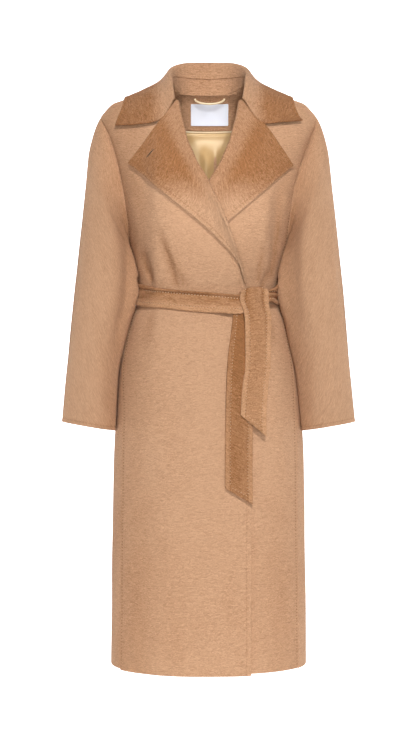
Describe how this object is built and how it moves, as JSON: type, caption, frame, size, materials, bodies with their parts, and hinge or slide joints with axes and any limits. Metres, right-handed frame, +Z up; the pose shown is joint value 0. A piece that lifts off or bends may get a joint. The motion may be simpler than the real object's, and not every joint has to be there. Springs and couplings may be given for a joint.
{
  "type": "wrap coat",
  "caption": "Long hollow wrap coat of brushed wool with wide notched lapels, set-in sleeves and a tie belt; worn over the shoulders, open at neck, cuffs and hem.",
  "frame": {"origin": "between the shoulders, level with the base of the neck, where a wearer's neck and shoulders bear the coat", "axes": "+Z up, -Y towards the front, +X towards the wearer's left"},
  "size_m": [0.5926, 0.3399, 1.2312],
  "materials": {
    "wool_body": "brushed wool, matte with a soft nap",
    "wool_turned": "brushed wool, matte with a soft nap",
    "wool_belt": "brushed wool, matte with a soft nap",
    "satin_lining": "smooth satin",
    "satin_trim": "smooth satin",
    "label_white": "woven ribbon, matte"
  },
  "bodies": {
    "root": {"back": "wool_body", "front_right": "wool_body", "front_left": "wool_body", "sleeve_right": "wool_body", "sleeve_left": "wool_body", "lapel_right": "wool_turned", "lapel_left": "wool_turned", "collar": "wool_turned", "collar_stand": "wool_turned", "neck_facing": "wool_turned", "belt_band": "wool_belt", "belt_tail_front": "wool_belt", "belt_tail_back": "wool_belt", "lining_back": "satin_lining", "neck_piping": "satin_trim", "hanger_loop": "satin_trim", "label": "label_white"}
  },
  "joints": []
}
